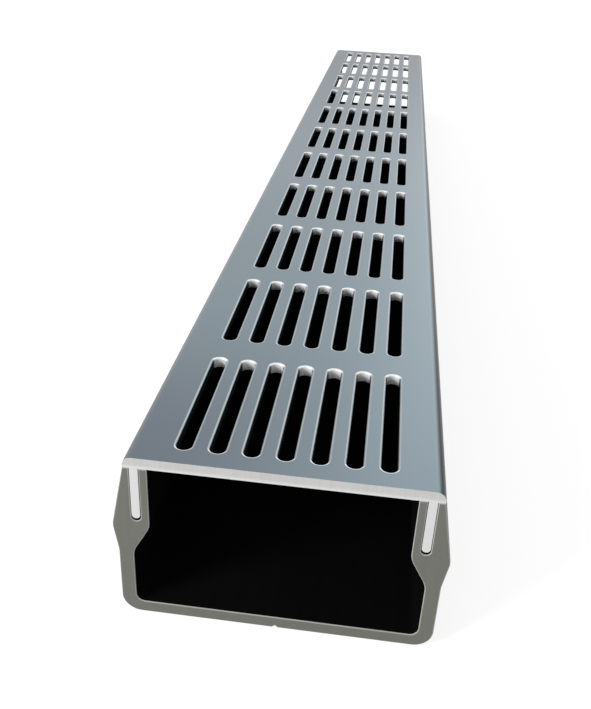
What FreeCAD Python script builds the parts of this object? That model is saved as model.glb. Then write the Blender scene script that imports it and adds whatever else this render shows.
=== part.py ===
import FreeCAD, Part
import math
import os
import Sketcher

# A channel drain in one metre lengths: an extruded plastic trough whose two walls fork at
# the top, and an extruded, slotted aluminium cover whose two legs drop into the forks.
# X runs across the drain, Y along it and Z up. Zero is the middle of the underside.
# Every size is in millimetres and stands in the sheet below.
SIZES = [
    ("drain_length", 1000.0, "length of both pieces along Y"),
    ("section_height", 77.0, "underside of the trough to the top of the cover"),
    ("cover_width", 120.0, "overall width of the cover"),
    ("cover_thickness", 4.6, "thickness of the slotted plate"),
    ("cover_edge_radius", 3.8, "round along the two long top edges"),
    ("cover_under_radius", 0.3, "round along the two long lower edges"),
    ("leg_thickness", 3.4, "thickness of a leg of the cover"),
    ("leg_inset", 4.5, "cover's edge to the middle of a leg"),
    ("leg_drop", 23.7, "plate's underside to the tip of a leg"),
    ("slot_columns", 7, "slots side by side"),
    ("slot_rows", 11, "slots one behind another"),
    ("slot_width", 6.2, "width of a slot"),
    ("side_margin", 17.9, "cover's edge to the side of the outermost slots"),
    ("near_margin", 9.2, "near cut end to the first row of slots"),
    ("far_margin", 18.8, "last row of slots to the far cut end"),
    ("row_web", 18.0, "solid band between two rows of slots"),
    ("rim_bevel", 0.4, "width of the bevel round each slot's top"),
    ("leg_play", 0.2, "play on each side of a leg in its groove"),
    ("groove_play", 1.2, "gap between a leg's tip and the groove's bottom"),
    ("wall_thickness", 6.0, "thickness of the lower walls"),
    ("floor_thickness", 5.5, "thickness of the floor"),
    ("wall_overhang", 3.3, "cover's edge out to the lower walls' outside"),
    ("bulge_overhang", 5.3, "cover's edge out to the fork's widest line"),
    ("bulge_drop", 32.5, "top of the cover down to the fork's widest line"),
    ("waist_drop", 45.0, "top of the cover down to the foot of the fork"),
    ("fork_width", 9.6, "cover's edge in to the fork's inner face"),
    ("fork_inset", 0.1, "cover's edge in to the fork's outer top edge"),
    ("base_radius", 8.0, "round along the two outer bottom corners"),
    ("gutter_radius", 3.6, "round along the two inner floor corners"),
    ("shoulder_radius", 10.0, "rounds above and below the fork's taper"),
    ("tip_radius", 0.5, "round along the fork's top edges"),
    ("mark_width", 2.4, "width of the vee under the middle of the floor"),
    ("mark_depth", 1.0, "depth of the vee under the middle of the floor"),
]

doc = FreeCAD.newDocument("channel_drain")

sheet = doc.addObject("Spreadsheet::Sheet", "sizes")
for row, (alias, value, note) in enumerate(SIZES, start=1):
    sheet.set("A" + str(row), alias)
    sheet.set("B" + str(row), str(value))
    sheet.set("C" + str(row), note)
    sheet.setAlias("B" + str(row), alias)
doc.recompute()


def size(alias):
    """The number that stands in the sheet for a size."""
    return float(sheet.get(alias))


def rule(text):
    """An expression over the sheet's sizes, each size written as {alias}."""
    return text.replace("{", "sizes.").replace("}", "")


def new_body(name):
    """One sub-part with its own label."""
    body = doc.addObject("PartDesign::Body", name)
    body.Label = name
    return body


def origin_plane(body, role):
    """The body's own plane of the given role."""
    for feature in body.Origin.OriginFeatures:
        if feature.Role == role:
            return feature
    raise RuntimeError("no plane " + role)


def new_sketch(body, name, role):
    """A sketch on one of the body's own planes."""
    sketch = doc.addObject("Sketcher::SketchObject", name)
    body.addObject(sketch)
    sketch.AttachmentSupport = [(origin_plane(body, role), "")]
    sketch.MapMode = "FlatFace"
    return sketch


def bind(sketch, constraint, text):
    """Adds a constraint whose value follows the sheet."""
    index = sketch.addConstraint(constraint)
    sketch.setExpression("Constraints[" + str(index) + "]", rule(text))


def draw_outline(sketch, corners):
    """Closed outline of straight lines, every corner placed by two sizes."""
    count = len(corners)
    reach = size("cover_width") / 2.0
    ring = []
    for i in range(count):
        turn = 2.0 * math.pi * i / count
        ring.append(FreeCAD.Vector(reach * math.cos(turn), reach * math.sin(turn), 0.0))
    for i in range(count):
        sketch.addGeometry(Part.LineSegment(ring[i], ring[(i + 1) % count]), False)
    for i in range(count):
        sketch.addConstraint(Sketcher.Constraint("Coincident", i, 2, (i + 1) % count, 1))
    for i, (across, up) in enumerate(corners):
        bind(sketch, Sketcher.Constraint("DistanceX", -1, 1, i, 1, ring[i].x), across)
        bind(sketch, Sketcher.Constraint("DistanceY", -1, 1, i, 1, ring[i].y), up)


def draw_slot(sketch, across, low, high, radius, begin):
    """Upright slot outline: the middles of its two round ends and their radius."""
    x0, low0, high0, r0 = begin
    low_mid = FreeCAD.Vector(x0, low0, 0.0)
    high_mid = FreeCAD.Vector(x0, high0, 0.0)
    normal = FreeCAD.Vector(0.0, 0.0, 1.0)
    top = Part.ArcOfCircle(Part.Circle(high_mid, normal, r0), 0.0, math.pi)
    bottom = Part.ArcOfCircle(Part.Circle(low_mid, normal, r0), math.pi, 2.0 * math.pi)
    left = Part.LineSegment(FreeCAD.Vector(x0 - r0, high0, 0.0), FreeCAD.Vector(x0 - r0, low0, 0.0))
    right = Part.LineSegment(FreeCAD.Vector(x0 + r0, low0, 0.0), FreeCAD.Vector(x0 + r0, high0, 0.0))
    sketch.addGeometry([top, left, bottom, right], False)
    sketch.addConstraint(Sketcher.Constraint("Tangent", 0, 2, 1, 1))
    sketch.addConstraint(Sketcher.Constraint("Tangent", 1, 2, 2, 1))
    sketch.addConstraint(Sketcher.Constraint("Tangent", 2, 2, 3, 1))
    sketch.addConstraint(Sketcher.Constraint("Tangent", 3, 2, 0, 1))
    bind(sketch, Sketcher.Constraint("Radius", 0, r0), radius)
    bind(sketch, Sketcher.Constraint("DistanceX", -1, 1, 2, 3, x0), across)
    bind(sketch, Sketcher.Constraint("DistanceY", -1, 1, 2, 3, low0), low)
    bind(sketch, Sketcher.Constraint("DistanceX", -1, 1, 0, 3, x0), across)
    bind(sketch, Sketcher.Constraint("DistanceY", -1, 1, 0, 3, high0), high)


def add_pad(body, sketch, name):
    """Runs a section along the whole drain, half to each side of the middle."""
    pad = doc.addObject("PartDesign::Pad", name)
    body.addObject(pad)
    pad.Profile = sketch
    pad.SideType = "Symmetric"
    pad.Length = size("drain_length")
    pad.setExpression("Length", rule("{drain_length}"))
    body.Tip = pad
    doc.recompute()
    return pad


def add_run_pocket(body, sketch, name):
    """Cuts a section out along the whole drain."""
    before = body.Tip.Shape.Volume
    pocket = doc.addObject("PartDesign::Pocket", name)
    body.addObject(pocket)
    pocket.Profile = sketch
    pocket.SideType = "Symmetric"
    pocket.Type = "Length"
    pocket.Length = size("drain_length") * 1.01
    pocket.setExpression("Length", rule("{drain_length} * 1.01"))
    body.Tip = pocket
    doc.recompute()
    if pocket.Shape.Volume >= before:
        raise RuntimeError(name + " cuts nothing")
    return pocket


def add_mirrored(body, feature, name):
    """Repeats a feature on the other side of the drain's middle."""
    before = body.Tip.Shape.Volume
    mirrored = doc.addObject("PartDesign::Mirrored", name)
    body.addObject(mirrored)
    mirrored.Originals = [feature]
    mirrored.MirrorPlane = (origin_plane(body, "YZ_Plane"), [""])
    body.Tip = mirrored
    doc.recompute()
    if abs(mirrored.Shape.Volume - before) < 1.0:
        raise RuntimeError(name + " changes nothing")
    return mirrored


def long_edges(shape, spots):
    """Names of the straight edges along Y that stand at the given x and z, both sides."""
    names = []
    for number, edge in enumerate(shape.Edges, start=1):
        ends = [vertex.Point for vertex in edge.Vertexes]
        if len(ends) != 2:
            continue
        along = ends[1] - ends[0]
        if abs(along.x) > 0.001 or abs(along.z) > 0.001:
            continue
        for x, z in spots:
            if abs(abs(ends[0].x) - x) < 0.01 and abs(ends[0].z - z) < 0.01:
                names.append("Edge" + str(number))
    if len(names) != 2 * len(spots):
        raise RuntimeError("edges not found: " + str(names))
    return names


def add_fillet(body, spots, alias, name):
    """Rounds a pair of long edges, or several pairs, by one radius."""
    base = body.Tip
    fillet = doc.addObject("PartDesign::Fillet", name)
    body.addObject(fillet)
    fillet.Base = (base, long_edges(base.Shape, spots))
    fillet.Radius = size(alias)
    fillet.setExpression("Radius", rule("{" + alias + "}"))
    body.Tip = fillet
    doc.recompute()
    return fillet


# ---- slotted grate: plate and two legs, one aluminium extrusion ----
grate = new_body("slotted_grate")
grate.setExpression("Placement.Base.z", rule("{section_height} - {cover_thickness}"))

plate_section = new_sketch(grate, "plate_section", "XZ_Plane")
draw_outline(plate_section, [
    ("-{cover_width} / 2", "0"),
    ("{cover_width} / 2", "0"),
    ("{cover_width} / 2", "{cover_thickness}"),
    ("-{cover_width} / 2", "{cover_thickness}"),
])
add_pad(grate, plate_section, "plate")

leg_section = new_sketch(grate, "leg_section", "XZ_Plane")
draw_slot(
    leg_section,
    "{cover_width} / 2 - {leg_inset}",
    "{leg_thickness} / 2 - {leg_drop}",
    "{cover_thickness} / 2",
    "{leg_thickness} / 2",
    (
        size("cover_width") / 2.0 - size("leg_inset"),
        size("leg_thickness") / 2.0 - size("leg_drop"),
        size("cover_thickness") / 2.0,
        size("leg_thickness") / 2.0,
    ),
)
leg = add_pad(grate, leg_section, "leg")
add_mirrored(grate, leg, "second_leg")

half_cover = size("cover_width") / 2.0
add_fillet(grate, [(half_cover, size("cover_thickness"))], "cover_edge_radius", "edge_rounds")
add_fillet(grate, [(half_cover, 0.0)], "cover_under_radius", "under_rounds")

# one slot at the near left corner, with its bevelled rim, repeated across and along
column_pitch = "({cover_width} - 2 * {side_margin} - {slot_width}) / ({slot_columns} - 1)"
row_room = "({drain_length} - {near_margin} - {far_margin} + {row_web})"
row_pitch = row_room + " / {slot_rows}"
first_column = "{side_margin} + {slot_width} / 2 - {cover_width} / 2"
slot_near = "{near_margin} + {slot_width} / 2 - {drain_length} / 2"
slot_far = "{near_margin} - {drain_length} / 2 + " + row_pitch + " - {row_web} - {slot_width} / 2"
near_line = size("near_margin") - size("drain_length") / 2.0
row_step = size("drain_length") - size("near_margin") - size("far_margin") + size("row_web")
row_step = row_step / size("slot_rows")
slot_begin = (
    size("side_margin") + size("slot_width") / 2.0 - size("cover_width") / 2.0,
    near_line + size("slot_width") / 2.0,
    near_line + row_step - size("row_web") - size("slot_width") / 2.0,
    size("slot_width") / 2.0,
)

slot_section = new_sketch(grate, "slot_outline", "XY_Plane")
slot_section.setExpression("AttachmentOffset.Base.z", rule("{cover_thickness}"))
draw_slot(slot_section, first_column, slot_near, slot_far, "{slot_width} / 2", slot_begin)
plain_volume = grate.Tip.Shape.Volume
slot_cut = doc.addObject("PartDesign::Pocket", "slot")
grate.addObject(slot_cut)
slot_cut.Profile = slot_section
slot_cut.Type = "Length"
slot_cut.Length = size("cover_thickness") * 1.2
slot_cut.setExpression("Length", rule("{cover_thickness} * 1.2"))
grate.Tip = slot_cut
doc.recompute()
slot_volume = plain_volume - slot_cut.Shape.Volume
if slot_volume <= 0.0:
    raise RuntimeError("the slot cuts nothing")

rim_section = new_sketch(grate, "rim_outline", "XY_Plane")
rim_section.setExpression("AttachmentOffset.Base.z", rule("{cover_thickness}"))
rim_radius = "{slot_width} / 2 + {rim_bevel}"
rim_begin = slot_begin[:3] + (slot_begin[3] + size("rim_bevel"),)
draw_slot(rim_section, first_column, slot_near, slot_far, rim_radius, rim_begin)
before_rim = slot_cut.Shape.Volume
rim_cut = doc.addObject("PartDesign::Pocket", "slot_rim")
grate.addObject(rim_cut)
rim_cut.Profile = rim_section
rim_cut.Type = "Length"
rim_cut.Length = size("rim_bevel")
rim_cut.setExpression("Length", rule("{rim_bevel}"))
rim_cut.TaperAngle = -45.0
grate.Tip = rim_cut
doc.recompute()
if rim_cut.Shape.Volume >= before_rim:
    raise RuntimeError("the rim's bevel cuts nothing")

grid = doc.addObject("PartDesign::MultiTransform", "slot_grid")
grate.addObject(grid)
across = doc.addObject("PartDesign::LinearPattern", "slots_across")
grate.addObject(across)
across.Direction = (origin_plane(grate, "X_Axis"), [""])
across.Mode = "Spacing"
across.setExpression("Offset", rule(column_pitch))
across.setExpression("Occurrences", rule("{slot_columns}"))
along = doc.addObject("PartDesign::LinearPattern", "slots_along")
grate.addObject(along)
along.Direction = (origin_plane(grate, "Y_Axis"), [""])
along.Mode = "Spacing"
along.setExpression("Offset", rule(row_pitch))
along.setExpression("Occurrences", rule("{slot_rows}"))
grid.Originals = [slot_cut, rim_cut]
grid.Transformations = [across, along]
grate.Tip = grid
doc.recompute()
if grid.Shape.Volume >= before_rim - slot_volume:
    raise RuntimeError("the slots are not repeated")

# ---- channel body: floor, two walls and their forks, one plastic extrusion ----
trough = new_body("channel_body")

fork_top = "{section_height} - {cover_thickness}"
waist_line = "{section_height} - {waist_drop}"
bulge_line = "{section_height} - {bulge_drop}"
outside = "{cover_width} / 2 + {wall_overhang}"
inside = outside + " - {wall_thickness}"

lower_section = new_sketch(trough, "lower_section", "XZ_Plane")
draw_outline(lower_section, [
    ("-(" + outside + ")", "0"),
    (outside, "0"),
    (outside, waist_line),
    ("-(" + outside + ")", waist_line),
])
add_pad(trough, lower_section, "lower_block")

cavity_section = new_sketch(trough, "cavity_section", "XZ_Plane")
draw_outline(cavity_section, [
    ("-(" + inside + ")", "{floor_thickness}"),
    (inside, "{floor_thickness}"),
    (inside, bulge_line),
    ("-(" + inside + ")", bulge_line),
])
add_run_pocket(trough, cavity_section, "cavity")

fork_section = new_sketch(trough, "fork_section", "XZ_Plane")
draw_outline(fork_section, [
    (inside, waist_line),
    (outside, waist_line),
    ("{cover_width} / 2 + {bulge_overhang}", bulge_line),
    ("{cover_width} / 2 - {fork_inset}", fork_top),
    ("{cover_width} / 2 - {fork_width}", fork_top),
    ("{cover_width} / 2 - {fork_width}", bulge_line),
])
fork = add_pad(trough, fork_section, "fork")
add_mirrored(trough, fork, "second_fork")

tip = size("section_height") - size("cover_thickness")
groove_radius = size("leg_thickness") / 2.0 + size("leg_play")
groove_section = new_sketch(trough, "groove_section", "XZ_Plane")
draw_slot(
    groove_section,
    "{cover_width} / 2 - {leg_inset}",
    fork_top + " - {leg_drop} - {groove_play} + {leg_thickness} / 2 + {leg_play}",
    fork_top + " + {leg_thickness}",
    "{leg_thickness} / 2 + {leg_play}",
    (
        half_cover - size("leg_inset"),
        tip - size("leg_drop") - size("groove_play") + groove_radius,
        tip + size("leg_thickness"),
        groove_radius,
    ),
)
groove = add_run_pocket(trough, groove_section, "groove")
add_mirrored(trough, groove, "second_groove")

half_lower = half_cover + size("wall_overhang")
half_cavity = half_lower - size("wall_thickness")
half_bulge = half_cover + size("bulge_overhang")
half_mouth = half_cover - size("fork_width")
waist = size("section_height") - size("waist_drop")
bulge = size("section_height") - size("bulge_drop")
add_fillet(trough, [(half_lower, 0.0)], "base_radius", "base_rounds")
add_fillet(trough, [(half_cavity, size("floor_thickness"))], "gutter_radius", "gutter_rounds")
shoulder_spots = [(half_lower, waist), (half_bulge, bulge), (half_cavity, waist), (half_mouth, bulge)]
add_fillet(trough, shoulder_spots, "shoulder_radius", "shoulder_rounds")
half_fork = half_cover - size("fork_inset")
add_fillet(trough, [(half_fork, tip), (half_mouth, tip)], "tip_radius", "tip_rounds")

mark_section = new_sketch(trough, "mark_section", "XZ_Plane")
draw_outline(mark_section, [
    ("-{mark_width}", "-{mark_depth}"),
    ("{mark_width}", "-{mark_depth}"),
    ("0", "{mark_depth}"),
])
add_run_pocket(trough, mark_section, "centre_mark")

doc.recompute()
for thing in doc.Objects:
    if "Invalid" in thing.State or "Error" in thing.State:
        raise RuntimeError(thing.Name + " is in state " + str(thing.State))
for body in (grate, trough):
    if body.Shape.isNull() or not body.Shape.isValid():
        raise RuntimeError(body.Label + " has no valid shape")
    if len(body.Shape.Solids) != 1:
        raise RuntimeError(body.Label + " is not one solid")

os.makedirs("parts", exist_ok=True)
for body in (grate, trough):
    body.Shape.exportStep(os.path.join("parts", body.Label + ".step"))
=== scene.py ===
"""Channel drain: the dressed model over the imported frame, laid out as an add-on."""

import math
from types import SimpleNamespace

import bmesh
import bpy
from mathutils import Matrix, Vector


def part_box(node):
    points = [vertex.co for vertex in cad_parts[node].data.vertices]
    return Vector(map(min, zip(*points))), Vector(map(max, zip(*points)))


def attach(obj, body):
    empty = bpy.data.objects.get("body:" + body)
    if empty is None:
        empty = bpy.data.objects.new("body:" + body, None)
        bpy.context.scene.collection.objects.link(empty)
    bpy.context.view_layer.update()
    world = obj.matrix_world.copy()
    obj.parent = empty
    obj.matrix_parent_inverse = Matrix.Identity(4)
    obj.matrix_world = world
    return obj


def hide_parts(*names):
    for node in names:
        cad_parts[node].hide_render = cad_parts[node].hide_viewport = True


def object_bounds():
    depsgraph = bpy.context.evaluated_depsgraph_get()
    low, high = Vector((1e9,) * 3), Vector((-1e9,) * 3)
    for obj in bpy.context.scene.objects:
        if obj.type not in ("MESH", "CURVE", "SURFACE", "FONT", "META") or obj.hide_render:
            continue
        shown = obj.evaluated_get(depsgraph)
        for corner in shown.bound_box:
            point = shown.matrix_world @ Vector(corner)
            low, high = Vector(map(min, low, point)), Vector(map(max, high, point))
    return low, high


bl_info = {
    "name": "Channel Drain",
    "version": (1, 0, 0),
    "blender": (4, 5, 0),
    "location": "View3D > Sidebar > Drain",
    "description": "Builds a slotted cover and a forked channel run from their sizes",
    "category": "Object",
}

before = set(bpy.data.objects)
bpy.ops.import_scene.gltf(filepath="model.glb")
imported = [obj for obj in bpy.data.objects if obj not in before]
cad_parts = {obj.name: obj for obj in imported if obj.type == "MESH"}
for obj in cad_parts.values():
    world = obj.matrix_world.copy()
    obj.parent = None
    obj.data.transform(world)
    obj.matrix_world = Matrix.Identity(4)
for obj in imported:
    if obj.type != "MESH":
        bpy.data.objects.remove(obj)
CAD_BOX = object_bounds()
COVER_LO, COVER_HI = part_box("slotted_grate")
BODY_LO, BODY_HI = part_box("channel_body")

# how finely the rounds are cut
OUTLINE_STEPS = 12
SLOT_STEPS = 14
SLOT_POINTS = 2 * (SLOT_STEPS + 1)
RIM_RINGS = 6
# radius of a full round as a share of its width, a hair under a half
FULL_ROUND = 0.498
UPRIGHT = (math.radians(90.0), 0.0, 0.0)

# reaches in metres, for picking faces by where they lie
CENTRE_REACH = 0.0005
CUT_REACH = 0.00001
INSIDE_REACH = 0.0001
MERGE_REACH = 2e-6
COLLAPSE_REACH = 1e-7
LEVEL_REACH = 1e-6
# a face narrower than this belongs to a round
ROUND_STRIP = 0.0014
# how squarely a face looks along the run
ENDWISE = 0.9
ENDWISE_FLAT = 0.99
# a broken edge's own reach, a little over its size
CHAMFER_REACH = 1.05

# where painted shade darkens the skin: shares of the run and of half the width, from the middle
FAR_SHADE_FADE = (-0.15, 0.5)
NEAR_SHADE_FADE = (-0.36, -0.5)
ACROSS_SHADE_FADE = (0.8, -1.0)
FAR_SHADE_DEPTH = 0.76
NEAR_SHADE_DEPTH = 0.6
# where painted shade darkens the long rounded edges: shares of their round, in from the edge
RIGHT_EDGE_SHADE = (1.0, 0.35)
LEFT_EDGE_SHADE = (0.5, 0.1)
# a slot's end walls, which carry its painted highlight, begin over these shares of its radius, past
# where its round ends start
WALL_FADE = (0.2, 0.65)
# its rolled rim begins over these shares of the rim's round, down from the plate's top
ROLL_FADE = (0.8, 0.3)
# share of the end walls' painted highlight that the rolled rim takes near a slot's ends
RIM_HIGHLIGHT = 0.8
SLOT_METAL = 0.9
WALL_DULL = 0.88
# the burr along the plate's lower edge, painted brighter as a highlight, fades in over these shares of
# its thickness
BURR_HIGHLIGHT_FADE = (0.45, 0.1)
BURR_HIGHLIGHT_SHARE = 0.8
SAW_ANGLE = math.radians(24.0)
SAW_HEIGHT = 40.0
# plain roughness of each finish, and how much its fine and its broad pattern add
SKIN_GRAIN = (0.08, 0.05)
PLASTIC_ROUGHNESS = 0.34
PLASTIC_GRAIN = (0.12, 0.1)
LINING_ROUGHNESS = 0.42
LINING_GRAIN = 0.1
SAWN_ROUGHNESS = 0.5
SAWN_GRAIN = 0.15

FLOOR_REACH = 12.0
FLOOR_GAP = 0.0005
SENSOR = 36.0
WHITE = (1.0, 1.0, 1.0, 1.0)


# ---------------------------------------------------------------- node trees


class Term:
    """One value in a node tree; arithmetic on it adds the Math nodes that work it out."""

    def __init__(self, kit, socket):
        self.kit = kit
        self.socket = socket

    def math(self, operation, *others):
        """The Math node of that operation, with this value first."""
        values = dict(enumerate((self,) + others))
        return self.kit.add("ShaderNodeMath", {"operation": operation}, values)

    def reflected(self, operation, other):
        """The Math node of that operation, with the other value first."""
        return self.kit.add("ShaderNodeMath", {"operation": operation}, {0: other, 1: self})

    def __add__(self, other):
        return self.math("ADD", other)

    def __radd__(self, other):
        return self.reflected("ADD", other)

    def __sub__(self, other):
        return self.math("SUBTRACT", other)

    def __rsub__(self, other):
        return self.reflected("SUBTRACT", other)

    def __mul__(self, other):
        return self.math("MULTIPLY", other)

    def __rmul__(self, other):
        return self.reflected("MULTIPLY", other)

    def __truediv__(self, other):
        return self.math("DIVIDE", other)

    def __rtruediv__(self, other):
        return self.reflected("DIVIDE", other)

    def __mod__(self, other):
        return self.math("MODULO", other)

    def __rmod__(self, other):
        return self.reflected("MODULO", other)

    def __abs__(self):
        return self.math("ABSOLUTE")

    def __lt__(self, other):
        return self.math("LESS_THAN", other)

    def __gt__(self, other):
        return self.math("GREATER_THAN", other)


class NodeKit:
    """Fills one node tree; every node of it comes from add()."""

    def __init__(self, tree):
        self.tree = tree

    def add(self, kind, settings=None, sockets=None, out=0):
        """A node of a kind, its settings first, then values or links by socket name or number.

        Among the settings, "choices" is how many values an Index Switch holds. What comes
        back is the output of that name or number, a list for a tuple of them, or nothing.
        """
        node = self.tree.nodes.new(kind)
        for name, value in (settings or {}).items():
            if name == "choices":
                for _ in range(value - len(node.index_switch_items)):
                    node.index_switch_items.new()
            else:
                setattr(node, name, value)
        for key, value in (sockets or {}).items():
            self.feed(node, key, value)
        if out is None:
            return None
        if isinstance(out, tuple):
            return [Term(self, node.outputs[key]) for key in out]
        return Term(self, node.outputs[out])

    def feed(self, node, key, value):
        """Links or sets one socket of a node."""
        if isinstance(key, int):
            target = node.inputs[key]
        else:
            target = next(s for s in node.inputs if s.name == key and s.enabled)
        if isinstance(value, Term):
            self.tree.links.new(value.socket, target)
        elif isinstance(value, list):
            for item in value:
                self.tree.links.new(item.socket, target)
        elif isinstance(value, tuple) and any(isinstance(item, Term) for item in value):
            joined_up = self.add("ShaderNodeCombineXYZ", {}, dict(enumerate(value)))
            self.tree.links.new(joined_up.socket, target)
        else:
            target.default_value = value

    def xyz(self, vector):
        """The three numbers of a vector."""
        return self.add("ShaderNodeSeparateXYZ", {}, {0: vector}, out=(0, 1, 2))

    def mix(self, factor, first, second):
        """A colour between two colours, each of them a term or three numbers."""
        ends = [c if isinstance(c, Term) else (*c, 1.0) for c in (first, second)]
        sockets = {"Factor": factor, "A": ends[0], "B": ends[1]}
        return self.add("ShaderNodeMix", {"data_type": "RGBA"}, sockets, out=2)


# ------------------------------------------------------------ shape by rules


def fields(group):
    """The names of a group's own properties, in order."""
    return list(type(group).__annotations__)


def new_tree(name, sizes, materials):
    """An empty geometry tree with an input for each size and each material.

    Returns its kit, the inputs as terms, and their values by socket identifier.
    """
    tree = bpy.data.node_groups.new(name, "GeometryNodeTree")
    tree.interface.new_socket("Geometry", in_out="OUTPUT", socket_type="NodeSocketGeometry")
    inputs = []
    for key in fields(sizes):
        # the broken edge is cut after the tree has run
        if key != "chamfer":
            inputs.append((key, sizes.bl_rna.properties[key].name, getattr(sizes, key)))
    inputs += [(key, key.capitalize(), material) for key, material in materials.items()]
    kinds = {int: "NodeSocketInt", float: "NodeSocketFloat"}
    values = {}
    for _, label, value in inputs:
        kind = kinds.get(type(value), "NodeSocketMaterial")
        item = tree.interface.new_socket(label, in_out="INPUT", socket_type=kind)
        if isinstance(value, float):
            item.subtype = "DISTANCE"
        values[item.identifier] = value
    kit = NodeKit(tree)
    terms = kit.add("NodeGroupInput", out=tuple(label for _, label, _ in inputs))
    return kit, SimpleNamespace(**dict(zip([key for key, _, _ in inputs], terms))), values


def grow(name, kit, result, values):
    """Ends a tree, runs it once on an empty mesh and keeps the plain mesh that it gives."""
    kit.add("NodeGroupOutput", {}, {0: result}, out=None)
    piece = bpy.data.objects.new(name, bpy.data.meshes.new(name + "_seed"))
    bpy.context.scene.collection.objects.link(piece)
    modifier = piece.modifiers.new("shape", "NODES")
    modifier.node_group = kit.tree
    for identifier, value in values.items():
        modifier[identifier] = value
    graph = bpy.context.evaluated_depsgraph_get()
    mesh = bpy.data.meshes.new_from_object(
        piece.evaluated_get(graph), preserve_all_data_layers=True, depsgraph=graph
    )
    piece.modifiers.clear()
    piece.data = mesh
    mesh.name = name
    wanted = [item for item in values.values() if isinstance(item, bpy.types.Material)]
    held = [wanted.index(mesh.materials[face.material_index]) for face in mesh.polygons]
    mesh.materials.clear()
    for material in wanted:
        mesh.materials.append(material)
    mesh.polygons.foreach_set("material_index", held)
    return piece


def joined(kit, shapes):
    """Several shapes as one."""
    return kit.add("GeometryNodeJoinGeometry", {}, {"Geometry": shapes})


def moved(kit, shape, place, turn=(0.0, 0.0, 0.0)):
    """A shape turned about the middle and then moved."""
    sockets = {"Geometry": shape, "Rotation": turn, "Translation": place}
    return kit.add("GeometryNodeTransform", {}, sockets)


def realized(kit, shape):
    """A shape whose copies are real geometry."""
    return kit.add("GeometryNodeRealizeInstances", {}, {"Geometry": shape})


def repeated(kit, points, shape):
    """A copy of a shape on every point."""
    copies = kit.add("GeometryNodeInstanceOnPoints", {}, {"Points": points, "Instance": shape})
    return realized(kit, copies)


def coated(kit, shape, material, selection=True):
    """A shape with a material on the selected faces."""
    sockets = {"Geometry": shape, "Selection": selection, "Material": material}
    return kit.add("GeometryNodeSetMaterial", {}, sockets)


def ring_through(kit, count, place):
    """Closed curve through a number of points, each set by a field of places."""
    line = kit.add("GeometryNodeCurvePrimitiveLine")
    line = kit.add("GeometryNodeResampleCurve", {"mode": "COUNT"}, {"Curve": line, "Count": count})
    line = kit.add("GeometryNodeSetPosition", {}, {"Geometry": line, "Position": place})
    return kit.add("GeometryNodeSetSplineCyclic", {}, {"Geometry": line, "Cyclic": True})


def closed_outline(kit, corners):
    """Closed outline in X and Y through corners, each (x, y, radius of its round)."""
    count = len(corners)
    index = kit.add("GeometryNodeInputIndex")
    spots = {"Index": index}
    rounds = {"Index": index}
    for i, (x, y, radius) in enumerate(corners):
        spots[i + 1] = (x, y, 0.0)
        rounds[i + 1] = radius
    place = kit.add("GeometryNodeIndexSwitch", {"data_type": "VECTOR", "choices": count}, spots)
    radius = kit.add("GeometryNodeIndexSwitch", {"data_type": "FLOAT", "choices": count}, rounds)
    sockets = {"Curve": ring_through(kit, count, place), "Count": OUTLINE_STEPS}
    sockets.update({"Radius": radius, "Limit Radius": True})
    return kit.add("GeometryNodeFilletCurve", {"mode": "POLY"}, sockets)


def mirrored(right):
    """Corners of the right half, followed by those of the left half."""
    return right + [(x * -1.0, y, radius) for x, y, radius in reversed(right)]


def section_run(kit, outline, size):
    """A section run along Y with plain strips at both ends; returns its side and its two caps."""
    near = (0.0, size.run * -0.5, 0.0)
    far = (0.0, size.run * 0.5, 0.0)
    line = moved(kit, kit.add("GeometryNodeCurveToMesh", {}, {"Curve": outline}), near, UPRIGHT)
    selection = True
    for step in (size.end_strip, size.run - size.end_strip * 2.0, size.end_strip):
        sockets = {"Mesh": line, "Selection": selection, "Offset": (0.0, step, 0.0)}
        line, selection = kit.add(
            "GeometryNodeExtrudeMesh", {"mode": "EDGES"}, sockets, out=("Mesh", "Top")
        )
    cap = kit.add("GeometryNodeFillCurve", {"mode": "NGONS"}, {"Curve": outline})
    return [line] + [moved(kit, cap, spot, UPRIGHT) for spot in (near, far)]


def cut_ends(kit, size):
    """1 on the faces of the two sawn ends."""
    _, y, _ = kit.xyz(kit.add("GeometryNodeInputPosition"))
    return abs(y) > (size.run * 0.5 - CUT_REACH)


def slot_point(number, radius, straight):
    """X and Y of a numbered point on a slot's outline, counted round its two half circles."""
    second = number > (SLOT_STEPS + 0.5)
    turn = (number - second) * math.pi / float(SLOT_STEPS)
    x = radius * turn.math("COSINE")
    y = radius * turn.math("SINE") + straight * (0.5 - second)
    return x, y


def slot_grid(kit, size):
    """Points in the middles of all slots, and a slot's length between its round ends."""
    column = (size.width - size.side_margin * 2.0 - size.slot_width) / (size.columns - 1.0)
    row = (size.run - size.near_margin - size.far_margin + size.row_web) / size.rows
    slot_length = row - size.row_web
    along = row * (size.rows - 1.0)
    sockets = {
        "Size X": column * (size.columns - 1.0),
        "Size Y": along,
        "Vertices X": size.columns,
        "Vertices Y": size.rows,
    }
    grid = kit.add("GeometryNodeMeshGrid", {}, sockets)
    shift = along * 0.5 + slot_length * 0.5 + size.near_margin - size.run * 0.5
    return moved(kit, grid, (0.0, shift, 0.0)), slot_length - size.slot_width


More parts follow.
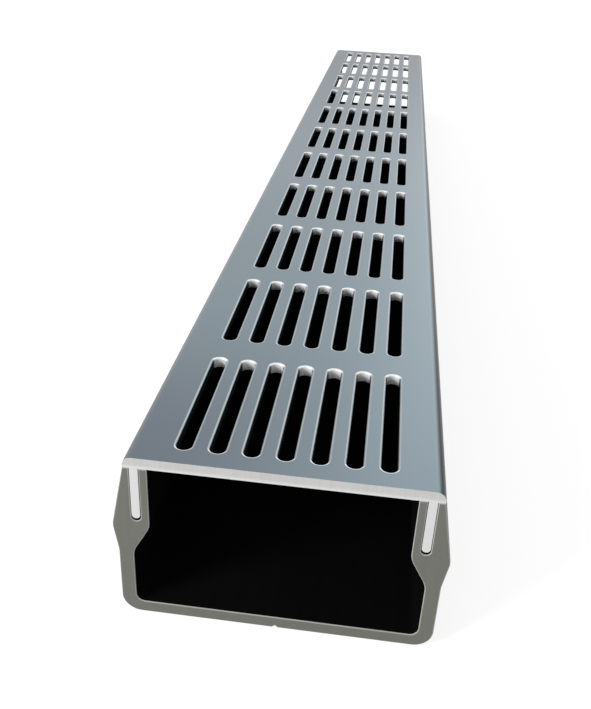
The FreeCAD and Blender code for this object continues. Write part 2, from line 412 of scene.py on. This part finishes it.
def lining_shape(kit, size, straight):
    """One slot's lining: rings of points from the rolled rim down to the plate's underside."""
    sockets = {"Size X": 1.0, "Size Y": 1.0}
    sockets.update({"Vertices X": SLOT_POINTS + 1, "Vertices Y": RIM_RINGS + 2})
    sheet = kit.add("GeometryNodeMeshGrid", {}, sockets)
    index = kit.add("GeometryNodeInputIndex")
    ring = index % (RIM_RINGS + 2)
    around = ((index - ring) / (RIM_RINGS + 2)).math("ROUND") % SLOT_POINTS
    angle = ring.math("MINIMUM", float(RIM_RINGS)) * (math.pi / 2.0 / RIM_RINGS)
    inset = size.rim_round * (1.0 - angle.math("SINE"))
    fall = size.rim_round * (1.0 - angle.math("COSINE"))
    last = ring > (RIM_RINGS + 0.5)
    height = (1.0 - last) * (size.thickness - fall)
    x, y = slot_point(around, size.slot_width * 0.5 + inset, straight)
    sockets = {"Geometry": sheet, "Position": (x, y, height)}
    return coated(kit, kit.add("GeometryNodeSetPosition", {}, sockets), size.rim)


def perforated_sheet(kit, size, grid, straight, half_width, radius, level):
    """A flat face of the plate at one level, with a hole for every slot."""
    x, y = slot_point(kit.add("GeometryNodeInputIndex"), radius, straight)
    holes = repeated(kit, grid, ring_through(kit, SLOT_POINTS, (x, y, 0.0)))
    sockets = {"Width": half_width * 2.0, "Height": size.run - size.end_strip * 2.0}
    border = kit.add("GeometryNodeCurvePrimitiveQuadrilateral", {"mode": "RECTANGLE"}, sockets)
    sockets = {"Curve": joined(kit, [border, holes])}
    face = kit.add("GeometryNodeFillCurve", {"mode": "TRIANGLES"}, sockets)
    return moved(kit, face, (0.0, 0.0, level))


# ------------------------------------------------------------------ finishing


def set_faces(mesh, half_length, chamfer, sawn_slot, broken_slot, rounded_slot=None):
    """Breaks the sawn edges, turns every face outwards and sets which faces are smooth."""
    work = bmesh.new()
    work.from_mesh(mesh)
    bmesh.ops.remove_doubles(work, verts=work.verts, dist=MERGE_REACH)
    bmesh.ops.dissolve_degenerate(work, dist=COLLAPSE_REACH, edges=work.edges)
    bmesh.ops.recalc_face_normals(work, faces=work.faces)
    rim = []
    for edge in work.edges:
        if all(abs(abs(v.co.y) - half_length) < CUT_REACH for v in edge.verts):
            if sum(abs(face.normal.y) > ENDWISE for face in edge.link_faces) == 1:
                rim.append(edge)
    bmesh.ops.bevel(
        work, geom=rim, offset=chamfer, offset_type="OFFSET", segments=2, profile=0.5,
        affect="EDGES", clamp_overlap=False,
    )
    bmesh.ops.recalc_face_normals(work, faces=work.faces)
    for face in work.faces:
        if all(abs(v.co.y) > half_length - chamfer * CHAMFER_REACH for v in face.verts):
            flat = abs(face.normal.y) > ENDWISE_FLAT
            face.material_index = sawn_slot if flat else broken_slot
            face.smooth = not flat
        elif face.material_index == rounded_slot:
            face.smooth = True
        else:
            across = [
                e.calc_length() for e in face.edges
                if abs(e.verts[0].co.y - e.verts[1].co.y) < LEVEL_REACH
            ]
            face.smooth = len(face.verts) == 4 and bool(across) and max(across) < ROUND_STRIP
    work.to_mesh(mesh)
    work.free()
    mesh.update()


def wear(piece, node):
    """Hands a finished piece to the frame: hides the CAD part that it stands for and hangs it on the
    root body.
    """
    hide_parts(node)
    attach(piece, "root")


# ------------------------------------------------------------------ materials


def new_material(name):
    """An empty node material with its kit."""
    material = bpy.data.materials.new(name)
    material.use_nodes = True
    material.node_tree.nodes.clear()
    return material, NodeKit(material.node_tree)


def close_material(kit, shader):
    """Ends a material in its output."""
    kit.add("ShaderNodeOutputMaterial", {}, {"Surface": shader}, out=None)


def principled(material, kit, sockets):
    """Ends a material in a Principled shader with these sockets, and returns the material."""
    close_material(kit, kit.add("ShaderNodeBsdfPrincipled", {}, sockets))
    return material


def object_spot(kit):
    """Where a point lies on its piece, in Object coordinates."""
    return kit.add("ShaderNodeTexCoord", out="Object")


def streaks(kit, across, along):
    """Fine lines along the extrusion."""
    sockets = {"Vector": object_spot(kit), "Scale": (across, along, across)}
    stretched = kit.add("ShaderNodeMapping", {}, sockets)
    sockets = {"Vector": stretched, "Scale": 1.0, "Detail": 3.0, "Roughness": 0.6}
    return kit.add("ShaderNodeTexNoise", {}, sockets)


def patches(kit, scale, detail=4.0):
    """Broad soft patches."""
    sockets = {"Vector": object_spot(kit), "Scale": scale, "Detail": detail}
    return kit.add("ShaderNodeTexNoise", {}, sockets)


def saw_marks(kit, scale):
    """Slanting lines that a saw leaves across a cut end."""
    sockets = {"Vector": object_spot(kit), "Rotation": (0.0, SAW_ANGLE, 0.0)}
    sockets["Scale"] = (scale, 1.0, SAW_HEIGHT)
    turned = kit.add("ShaderNodeMapping", {}, sockets)
    return kit.add("ShaderNodeTexNoise", {}, {"Vector": turned, "Scale": 1.0, "Detail": 3.0})


def two_tone(kit, fine, broad, dark, light, share):
    """Two patterns as one, the finer with the given share, and the colour that they give."""
    tone = fine * share + broad * (1.0 - share)
    return tone, kit.mix(tone, dark, light)


def relief(kit, height, strength, distance):
    """A bumped normal."""
    sockets = {"Strength": strength, "Distance": distance, "Height": height}
    return kit.add("ShaderNodeBump", {}, sockets)


def fade(kit, value, low, high):
    """Goes softly from 0 at one value to 1 at another."""
    sockets = {"Value": value, "From Min": low, "From Max": high}
    return kit.add("ShaderNodeMapRange", {"interpolation_type": "SMOOTHSTEP"}, sockets)


def anodised(finish, sizes):
    """Satin anodised skin of the cover, with the faint lines of its extrusion, and painted shade
    towards the ends and over the long rounded edges.
    """
    material, kit = new_material("anodised_skin")
    lines = streaks(kit, across=1400.0, along=2.0)
    broad = patches(kit, scale=6.0)
    _, colour = two_tone(kit, lines, broad, finish.skin_dark, finish.skin_light, share=0.35)
    x, y, _ = kit.xyz(object_spot(kit))
    half = sizes.width * 0.5
    edge = sizes.edge_round
    # painted shade: the skin darkens towards the far end and the near left corner, and over the long
    # rounded edges, more on the right
    far = fade(kit, y, *(sizes.run * share for share in FAR_SHADE_FADE)) * FAR_SHADE_DEPTH
    near = fade(kit, y, *(sizes.run * share for share in NEAR_SHADE_FADE))
    near = near * fade(kit, x, *(half * share for share in ACROSS_SHADE_FADE))
    colour = kit.mix(far + near * NEAR_SHADE_DEPTH, colour, finish.skin_deep)
    # painted shade over the long rounded edges, wider on the right
    right = fade(kit, x, *(half - edge * share for share in RIGHT_EDGE_SHADE))
    left = fade(kit, x, *(edge * share - half for share in LEFT_EDGE_SHADE))
    colour = kit.mix(right.math("MAXIMUM", left), colour, finish.edge_tone)
    return principled(material, kit, {
        "Base Color": colour,
        "Metallic": 1.0,
        "Roughness": lines * SKIN_GRAIN[0] + broad * SKIN_GRAIN[1] + finish.skin_roughness,
        "Normal": relief(kit, lines, strength=0.05, distance=0.0002),
    })


def slot_lining(finish, sizes):
    """Rolled rims a little paler than the skin, a painted highlight on the end walls and painted shade
    on the side walls.
    """
    material, kit = new_material("slot_lining")
    broad = patches(kit, scale=40.0)
    rim = kit.mix(broad, finish.rim_dark, finish.rim_light)
    _, y, z = kit.xyz(object_spot(kit))
    used = sizes.run - sizes.near_margin - sizes.far_margin + sizes.row_web
    row = used / sizes.rows
    half_slot = (row - sizes.row_web) * 0.5
    radius = sizes.slot_width * 0.5
    along = (y + (sizes.run * 0.5 - sizes.near_margin)) % row
    past = abs(along - half_slot) - (half_slot - radius)
    end = fade(kit, past, *(radius * share for share in WALL_FADE))
    top = sizes.seat + sizes.thickness
    rolled = fade(kit, z, *(top - sizes.rim_round * share for share in ROLL_FADE))
    # painted highlight on the end walls, reaching into the rim near them, and painted shade on the side
    # walls
    rim = kit.mix(end * RIM_HIGHLIGHT, rim, finish.end_wall)
    wall = kit.mix(end, finish.side_wall, finish.end_wall)
    return principled(material, kit, {
        "Base Color": kit.mix(rolled, wall, rim),
        # the end walls lose most of their metal so that their painted highlight shows as plain bright
        # colour
        "Metallic": SLOT_METAL - end * (1.0 - rolled) * WALL_DULL,
        "Roughness": broad * LINING_GRAIN + LINING_ROUGHNESS,
    })


def sawn_metal(finish, sizes):
    """Bright sawn end of the cover, with a burr along the plate's lower edge painted brighter still as
    a highlight.
    """
    material, kit = new_material("sawn_metal")
    marks = saw_marks(kit, scale=900.0)
    broad = patches(kit, scale=60.0)
    _, colour = two_tone(kit, marks, broad, finish.cut_dark, finish.cut_light, share=0.6)
    _, _, z = kit.xyz(object_spot(kit))
    # the burr along the lower edge, painted brighter as a highlight
    low = fade(kit, z, *(sizes.seat + sizes.thickness * share for share in BURR_HIGHLIGHT_FADE))
    return principled(material, kit, {
        "Base Color": kit.mix(low * BURR_HIGHLIGHT_SHARE, colour, finish.cut_bright),
        "Metallic": 0.1,
        "Roughness": marks * SAWN_GRAIN + SAWN_ROUGHNESS,
        "Normal": relief(kit, marks, strength=0.12, distance=0.0002),
    })


def plastic_skin(finish):
    """Near black extruded skin of the channel."""
    material, kit = new_material("plastic_skin")
    lines = streaks(kit, across=700.0, along=1.2)
    broad = patches(kit, scale=9.0)
    tones = (finish.plastic_dark, finish.plastic_light)
    _, colour = two_tone(kit, lines, broad, *tones, share=0.5)
    return principled(material, kit, {
        "Base Color": colour,
        "Roughness": lines * PLASTIC_GRAIN[0] + broad * PLASTIC_GRAIN[1] + PLASTIC_ROUGHNESS,
        "Specular IOR Level": 0.25,
        "Normal": relief(kit, lines, strength=0.15, distance=0.0003),
    })


def plastic_inside(finish):
    """The channel's black plastic on the faces of the water way, a shaded copy of the skin: its sheen
    is taken away to stand for the shade inside.
    """
    material, kit = new_material("plastic_inside")
    lines = streaks(kit, across=500.0, along=1.5)
    broad = patches(kit, scale=12.0)
    tones = (finish.plastic_dark, finish.plastic_light)
    _, colour = two_tone(kit, lines, broad, *tones, share=0.4)
    return principled(material, kit, {
        "Base Color": colour,
        "Roughness": 0.85,
        "Specular IOR Level": 0.0,
        "Normal": relief(kit, broad, strength=0.2, distance=0.0003),
    })


def sawn_plastic(name, dark, light):
    """Warm grey sawn end of the channel, or, with paler colours, the burr round it painted pale as a
    highlight.
    """
    material, kit = new_material(name)
    marks = saw_marks(kit, scale=500.0)
    grain = patches(kit, scale=900.0, detail=2.0)
    tone, colour = two_tone(kit, marks, grain, dark, light, share=0.5)
    return principled(material, kit, {
        "Base Color": colour,
        "Roughness": 0.78,
        "Normal": relief(kit, tone, strength=0.2, distance=0.0003),
    })


# ----------------------------------------------------------------- properties


def length(label, text, value):
    """A length property in metres."""
    return bpy.props.FloatProperty(
        name=label, description=text, default=value, min=0.0, unit="LENGTH", precision=4
    )


def count(label, text, value):
    """A whole number property."""
    return bpy.props.IntProperty(name=label, description=text, default=value, min=1, max=200)


def tint(label, text, value):
    """A colour property."""
    return bpy.props.FloatVectorProperty(
        name=label, description=text, default=value, size=3, min=0.0, max=1.0, subtype="COLOR"
    )


def amount(label, text, value, **more):
    """A property for a plain number that isn't below 0."""
    return bpy.props.FloatProperty(name=label, description=text, default=value, min=0.0, **more)


class CoverSizes(bpy.types.PropertyGroup):
    """Sizes of the slotted cover."""

    run: length("Length", "Length of the cover", COVER_HI.y - COVER_LO.y)
    width: length("Width", "Overall width of the cover", COVER_HI.x - COVER_LO.x)
    seat: length("Seat height", "Height of the plate's underside", BODY_HI.z)
    thickness: length("Thickness", "Thickness of the plate", COVER_HI.z - BODY_HI.z)
    edge_round: length("Edge round", "Round along the long top edges", 0.0038)
    under_round: length("Under round", "Round along the long lower edges", 0.0003)
    leg_thickness: length("Leg thickness", "Thickness of a leg", 0.0034)
    leg_inset: length("Leg inset", "Cover's edge to the middle of a leg", 0.0045)
    leg_drop: length("Leg drop", "Plate's underside to a leg's tip", BODY_HI.z - COVER_LO.z)
    columns: count("Slots across", "Slots side by side", 7)
    rows: count("Slots along", "Slots one behind another", 11)
    slot_width: length("Slot width", "Width of a slot", 0.0062)
    side_margin: length("Side margin", "Cover's edge to the outermost slots", 0.0179)
    near_margin: length("Near margin", "Near end to the first row", 0.0092)
    far_margin: length("Far margin", "Last row to the far end", 0.0188)
    row_web: length("Row web", "Solid band between two rows", 0.018)
    rim_round: length("Rim round", "Rolled rim round each slot's top", 0.0009)
    end_strip: length("End strip", "Plain strip next to each cut end", 0.001)
    chamfer: length("Broken edge", "Broken edge round each cut end", 0.00015)


class ChannelSizes(bpy.types.PropertyGroup):
    """Sizes of the forked channel."""

    run: length("Length", "Length of the channel", BODY_HI.y - BODY_LO.y)
    height: length("Height", "Underside to the forks' tips", BODY_HI.z - BODY_LO.z)
    cover_width: length("Cover width", "Width of the cover it carries", COVER_HI.x - COVER_LO.x)
    wall: length("Wall", "Thickness of the lower walls", 0.006)
    floor: length("Floor", "Thickness of the floor", 0.0055)
    wall_overhang: length("Wall overhang", "Cover's edge out to the lower walls", 0.0033)
    bulge_overhang: length("Bulge overhang", "Cover's edge out to the fork's widest line", 0.0053)
    bulge_height: length("Bulge height", "Underside to the fork's widest line", 0.0445)
    waist_height: length("Waist height", "Underside to the foot of the fork", 0.032)
    fork_width: length("Fork width", "Cover's edge in to the fork's inner face", 0.0096)
    fork_inset: length("Fork inset", "Cover's edge in to the fork's outer top", 0.0001)
    groove_middle: length("Groove inset", "Cover's edge to the middle of a groove", 0.0045)
    groove_width: length("Groove width", "Width of a groove", 0.0038)
    groove_depth: length("Groove depth", "Fork's tip to the bottom of a groove", 0.0249)
    base_round: length("Base round", "Rounds of the two outer bottom corners", 0.008)
    gutter_round: length("Gutter round", "Rounds of the two inner floor corners", 0.0036)
    shoulder_round: length("Shoulder round", "Rounds above and below the taper", 0.01)
    tip_round: length("Tip round", "Rounds of the forks' top edges", 0.0005)
    mark_width: length("Mark width", "Width of the vee under the floor", 0.0024)
    mark_depth: length("Mark depth", "Depth of the vee under the floor", 0.001)
    end_strip: length("End strip", "Plain strip next to each cut end", 0.001)
    chamfer: length("Broken edge", "Broken edge round each cut end", 0.00035)


class Finish(bpy.types.PropertyGroup):
    """Colours of both pieces."""

    skin_dark: tint("Skin, dark", "Anodised skin, darker tone", (0.192, 0.24, 0.272))
    skin_light: tint("Skin, light", "Anodised skin, lighter tone", (0.245, 0.302, 0.34))
    skin_roughness: amount(
        "Skin roughness", "Roughness of the anodised skin", 0.3, max=1.0, subtype="FACTOR"
    )
    # painted shade of the skin towards the ends and the near left corner
    skin_deep: tint("Skin, deep", "Anodised skin towards the ends", (0.122, 0.135, 0.163))
    # painted shade over the rounded long edges
    edge_tone: tint("Edge tone", "Anodised skin over the rounded long edges", (0.022, 0.026, 0.024))
    rim_dark: tint("Rim, dark", "Slot rims, darker tone", (0.36, 0.41, 0.435))
    rim_light: tint("Rim, light", "Slot rims, lighter tone", (0.44, 0.49, 0.515))
    # painted shade on the slots' long walls
    side_wall: tint("Side wall", "Long walls of the slots", (0.03, 0.042, 0.048))
    # painted highlight on the slots' round end walls
    end_wall: tint("End wall", "Rounded end walls of the slots", (0.95, 0.96, 0.965))
    cut_dark: tint("Sawn metal, dark", "Sawn end of the cover, darker tone", (0.62, 0.61, 0.60))
    cut_light: tint("Sawn metal, light", "Sawn end of the cover, lighter tone", (0.80, 0.80, 0.79))
    # a burr along the plate's lower edge, painted brighter as a highlight
    cut_bright: tint("Sawn metal, bright", "Burr along the plate's lower edge", (0.93, 0.93, 0.93))
    plastic_dark: tint("Plastic, dark", "Channel's skin, darker tone", (0.003, 0.003, 0.003))
    plastic_light: tint("Plastic, light", "Channel's skin, lighter tone", (0.009, 0.009, 0.009))
    sawn_dark: tint("Sawn plastic, dark", "Sawn end of the channel, darker tone", (0.17, 0.175, 0.15))
    sawn_light: tint("Sawn plastic, light", "Sawn end, lighter tone", (0.23, 0.235, 0.205))
    # the burr on the broken edge round the channel's end, painted paler as a highlight
    edge_dark: tint("Broken edge, dark", "Burr round the channel's end, darker", (0.46, 0.465, 0.43))
    edge_light: tint("Broken edge, light", "Burr round the channel's end, lighter", (0.58, 0.585, 0.54))


class StageSettings(bpy.types.PropertyGroup):
    """Floor, lamps and camera."""

    floor_tint: tint("Floor", "Colour of the floor", (0.78, 0.78, 0.78))
    floor_seen: tint("Floor as seen", "Its grey to the camera, under its glow", (0.6, 0.6, 0.6))
    floor_glow: amount(
        "Floor glow", "How much of its white the floor shows by itself", 0.76,
        max=1.0, subtype="FACTOR",
    )
    key_power: amount("Key lamp", "Power of the soft lamp in front", 24.0, unit="POWER")
    side_power: amount("Side lamp", "Power of the soft lamp behind", 7.0, unit="POWER")
    sky: amount("Sky", "Strength of the plain sky", 0.4)
    lens: amount("Lens", "Focal length in millimetres", 41.885)
    eye: bpy.props.FloatVectorProperty(
        name="Camera place", description="Where the camera stands", size=3,
        default=(0.02695, -0.73971, 0.25938), subtype="TRANSLATION", precision=4,
    )
    turn: bpy.props.FloatVectorProperty(
        name="Camera turn", description="Pitch, roll and heading of the camera", size=3,
        default=(math.radians(-28.733), math.radians(-2.894), math.radians(5.726)),
        subtype="EULER",
    )


class DrainSettings(bpy.types.PropertyGroup):
    """All settings of the channel drain."""

    cover: bpy.props.PointerProperty(name="Cover", description="Slotted cover", type=CoverSizes)
    channel: bpy.props.PointerProperty(name="Channel", description="Channel", type=ChannelSizes)
    finish: bpy.props.PointerProperty(name="Finish", description="Colours", type=Finish)
    stage: bpy.props.PointerProperty(name="Stage", description="Stage", type=StageSettings)


# ------------------------------------------------------------------ operators


class DRAIN_OT_cover(bpy.types.Operator):
    """Build the slotted cover"""

    bl_idname = "drain.cover"
    bl_label = "Slotted cover"

    def execute(self, context):
        sizes = context.scene.drain.cover
        finish = context.scene.drain.finish
        materials = {
            "skin": anodised(finish, sizes),
            "rim": slot_lining(finish, sizes),
            "sawn": sawn_metal(finish, sizes),
        }
        kit, size, values = new_tree("slotted_cover_rule", sizes, materials)

        half = size.width * 0.5
        leg = half - size.leg_inset
        leg_out = leg + size.leg_thickness * 0.5
        leg_in = leg - size.leg_thickness * 0.5
        tip = size.leg_drop * -1.0
        leg_round = size.leg_thickness * FULL_ROUND
        outline = closed_outline(kit, mirrored([
            (half, size.thickness, size.edge_round),
            (half, 0.0, size.under_round),
            (leg_out, 0.0, 0.0),
            (leg_out, tip, leg_round),
            (leg_in, tip, leg_round),
            (leg_in, 0.0, 0.0),
        ]))
        run = section_run(kit, outline, size)
        # the two wide plain faces give way to perforated ones
        x, y, _ = kit.xyz(kit.add("GeometryNodeInputPosition"))
        middle = (abs(x) < CENTRE_REACH) * (abs(y) < CENTRE_REACH)
        run[0] = kit.add(
            "GeometryNodeDeleteGeometry",
            {"domain": "FACE", "mode": "ONLY_FACE"},
            {"Geometry": run[0], "Selection": middle},
        )
        grid, straight = slot_grid(kit, size)
        radius = size.slot_width * 0.5
        sheets = [
            perforated_sheet(kit, size, grid, straight, half_width, hole, level)
            for half_width, hole, level in (
                (half - size.edge_round, radius + size.rim_round, size.thickness),
                (leg_in, radius, 0.0),
            )
        ]
        linings = repeated(kit, grid, lining_shape(kit, size, straight))
        plain = coated(kit, joined(kit, run + sheets), size.skin)
        whole = moved(kit, joined(kit, [linings, plain]), (0.0, 0.0, size.seat))
        whole = coated(kit, realized(kit, whole), size.sawn, cut_ends(kit, size))
        piece = grow("slotted_cover", kit, whole, values)
        set_faces(piece.data, sizes.run / 2.0, sizes.chamfer, 2, 2, rounded_slot=1)
        wear(piece, "slotted_grate")
        return {"FINISHED"}


class DRAIN_OT_channel(bpy.types.Operator):
    """Build the forked channel"""

    bl_idname = "drain.channel"
    bl_label = "Channel"

    def execute(self, context):
        sizes = context.scene.drain.channel
        finish = context.scene.drain.finish
        materials = {
            "skin": plastic_skin(finish),
            "inside": plastic_inside(finish),
            "sawn": sawn_plastic("sawn_plastic", finish.sawn_dark, finish.sawn_light),
        }
        kit, size, values = new_tree("channel_rule", sizes, materials)

        half = size.cover_width * 0.5
        outside = half + size.wall_overhang
        inside = outside - size.wall
        mouth = half - size.fork_width
        groove = half - size.groove_middle
        groove_out = groove + size.groove_width * 0.5
        groove_in = groove - size.groove_width * 0.5
        groove_low = size.height - size.groove_depth
        groove_round = size.groove_width * FULL_ROUND
        vee = [(0.0, size.mark_depth, 0.0)]
        outline = closed_outline(kit, vee + mirrored([
            (size.mark_width * 0.5, 0.0, 0.0),
            (outside, 0.0, size.base_round),
            (outside, size.waist_height, size.shoulder_round),
            (half + size.bulge_overhang, size.bulge_height, size.shoulder_round),
            (half - size.fork_inset, size.height, size.tip_round),
            (groove_out, size.height, 0.0),
            (groove_out, groove_low, groove_round),
            (groove_in, groove_low, groove_round),
            (groove_in, size.height, 0.0),
            (mouth, size.height, size.tip_round),
            (mouth, size.bulge_height, size.shoulder_round),
            (inside, size.waist_height, size.shoulder_round),
            (inside, size.floor, size.gutter_round),
        ]))
        whole = realized(kit, joined(kit, section_run(kit, outline, size)))
        whole = coated(kit, whole, size.skin)
        # the faces of the water way get the shaded copy of the plastic, without its sheen
        x, _, z = kit.xyz(kit.add("GeometryNodeInputPosition"))
        within = (abs(x) < (inside + INSIDE_REACH)) * (z > (size.floor - INSIDE_REACH))
        whole = coated(kit, whole, size.inside, within)
        whole = coated(kit, whole, size.sawn, cut_ends(kit, size))
        piece = grow("channel_run", kit, whole, values)
        # the broken edge takes the burr painted pale as a highlight
        burr = sawn_plastic("broken_edge", finish.edge_dark, finish.edge_light)
        piece.data.materials.append(burr)
        set_faces(piece.data, sizes.run / 2.0, sizes.chamfer, 2, 3)
        wear(piece, "channel_body")
        return {"FINISHED"}


def shown_rays(kit):
    """1 for rays that show the surroundings: from the camera, a mirror or through glass."""
    rays = ("Is Camera Ray", "Is Glossy Ray", "Is Transmission Ray")
    camera, glossy, transmission = kit.add("ShaderNodeLightPath", out=rays)
    return camera.math("MAXIMUM", glossy.math("MAXIMUM", transmission))


def soft_lamp(name, place, aim, width, power):
    """A square soft lamp that looks at a point."""
    data = bpy.data.lights.new(name, "AREA")
    data.shape = "SQUARE"
    data.size = width
    data.energy = power
    lamp = bpy.data.objects.new(name, data)
    lamp.location = place
    lamp.rotation_euler = (Vector(aim) - Vector(place)).to_track_quat("-Z", "Y").to_euler()
    bpy.context.scene.collection.objects.link(lamp)


def white_floor(stage):
    """A pale floor just under the drain, white to the camera, that keeps the drain's shadow."""
    plate = bmesh.new()
    bmesh.ops.create_grid(plate, x_segments=1, y_segments=1, size=FLOOR_REACH)
    mesh = bpy.data.meshes.new("floor")
    plate.to_mesh(mesh)
    plate.free()
    mesh.transform(Matrix.Translation((0.0, 0.0, CAD_BOX[0].z - FLOOR_GAP)))
    floor = bpy.data.objects.new("floor", mesh)
    bpy.context.scene.collection.objects.link(floor)
    material, kit = new_material("floor_white")
    seen = shown_rays(kit)
    plain = kit.mix(seen, stage.floor_tint, stage.floor_seen)
    diffuse = kit.add("ShaderNodeBsdfDiffuse", {}, {"Color": plain})
    glow = kit.add("ShaderNodeEmission", {}, {"Strength": seen * stage.floor_glow})
    close_material(kit, kit.add("ShaderNodeAddShader", {}, {0: diffuse, 1: glow}))
    mesh.materials.append(material)


def plain_sky(stage):
    """A white sky that lights softly and shows white."""
    world = bpy.data.worlds.new("plain_sky")
    bpy.context.scene.world = world
    world.use_nodes = True
    world.node_tree.nodes.clear()
    kit = NodeKit(world.node_tree)
    strength = shown_rays(kit) * (1.0 - stage.sky) + stage.sky
    shade = kit.add("ShaderNodeBackground", {}, {"Color": WHITE, "Strength": strength})
    kit.add("ShaderNodeOutputWorld", {}, {"Surface": shade}, out=None)


def set_camera(stage):
    """The camera, by its place, its turn and its lens."""
    data = bpy.data.cameras.new("camera")
    data.lens = stage.lens
    data.sensor_width = SENSOR
    camera = bpy.data.objects.new("camera", data)
    pitch, roll, heading = stage.turn
    camera.matrix_world = (
        Matrix.Translation(stage.eye)
        @ Matrix.Rotation(heading, 4, "Z")
        @ Matrix.Rotation(pitch, 4, "X")
        @ Matrix.Rotation(roll, 4, "Y")
        @ Matrix.Rotation(UPRIGHT[0], 4, "X")
    )
    bpy.context.scene.collection.objects.link(camera)
    bpy.context.scene.camera = camera


class DRAIN_OT_stage(bpy.types.Operator):
    """Build the floor, the lamps and the camera"""

    bl_idname = "drain.stage"
    bl_label = "Stage"

    def execute(self, context):
        stage = context.scene.drain.stage
        context.scene.view_settings.view_transform = "Standard"
        white_floor(stage)
        plain_sky(stage)
        soft_lamp(
            "key_lamp", place=(-1.5, -1.65, 0.95), aim=(0.0, -0.4, 0.04), width=0.6,
            power=stage.key_power,
        )
        soft_lamp(
            "side_lamp", place=(0.9, 2.3, 1.2), aim=(0.0, 0.2, 0.05), width=1.6,
            power=stage.side_power,
        )
        set_camera(stage)
        return {"FINISHED"}


class DRAIN_PT_panel(bpy.types.Panel):
    """Lists the drain's sizes and operators"""

    bl_idname = "DRAIN_PT_panel"
    bl_label = "Channel drain"
    bl_space_type = "VIEW_3D"
    bl_region_type = "UI"
    bl_category = "Drain"

    def draw(self, context):
        settings = context.scene.drain
        for group in (settings.cover, settings.channel, settings.finish, settings.stage):
            box = self.layout.box()
            for name in fields(group):
                box.prop(group, name)
        for operator in (DRAIN_OT_cover, DRAIN_OT_channel, DRAIN_OT_stage):
            self.layout.operator(operator.bl_idname)


CLASSES = (
    CoverSizes,
    ChannelSizes,
    Finish,
    StageSettings,
    DrainSettings,
    DRAIN_OT_cover,
    DRAIN_OT_channel,
    DRAIN_OT_stage,
    DRAIN_PT_panel,
)


def register():
    """Registers the add-on's classes and its settings."""
    for cls in CLASSES:
        bpy.utils.register_class(cls)
    bpy.types.Scene.drain = bpy.props.PointerProperty(type=DrainSettings)


def unregister():
    """Takes the settings and the classes away again."""
    del bpy.types.Scene.drain
    for cls in reversed(CLASSES):
        bpy.utils.unregister_class(cls)


def main():
    """Builds everything in order."""
    register()
    bpy.ops.drain.channel()
    bpy.ops.drain.cover()
    bpy.ops.drain.stage()


if __name__ == "__main__":
    main()
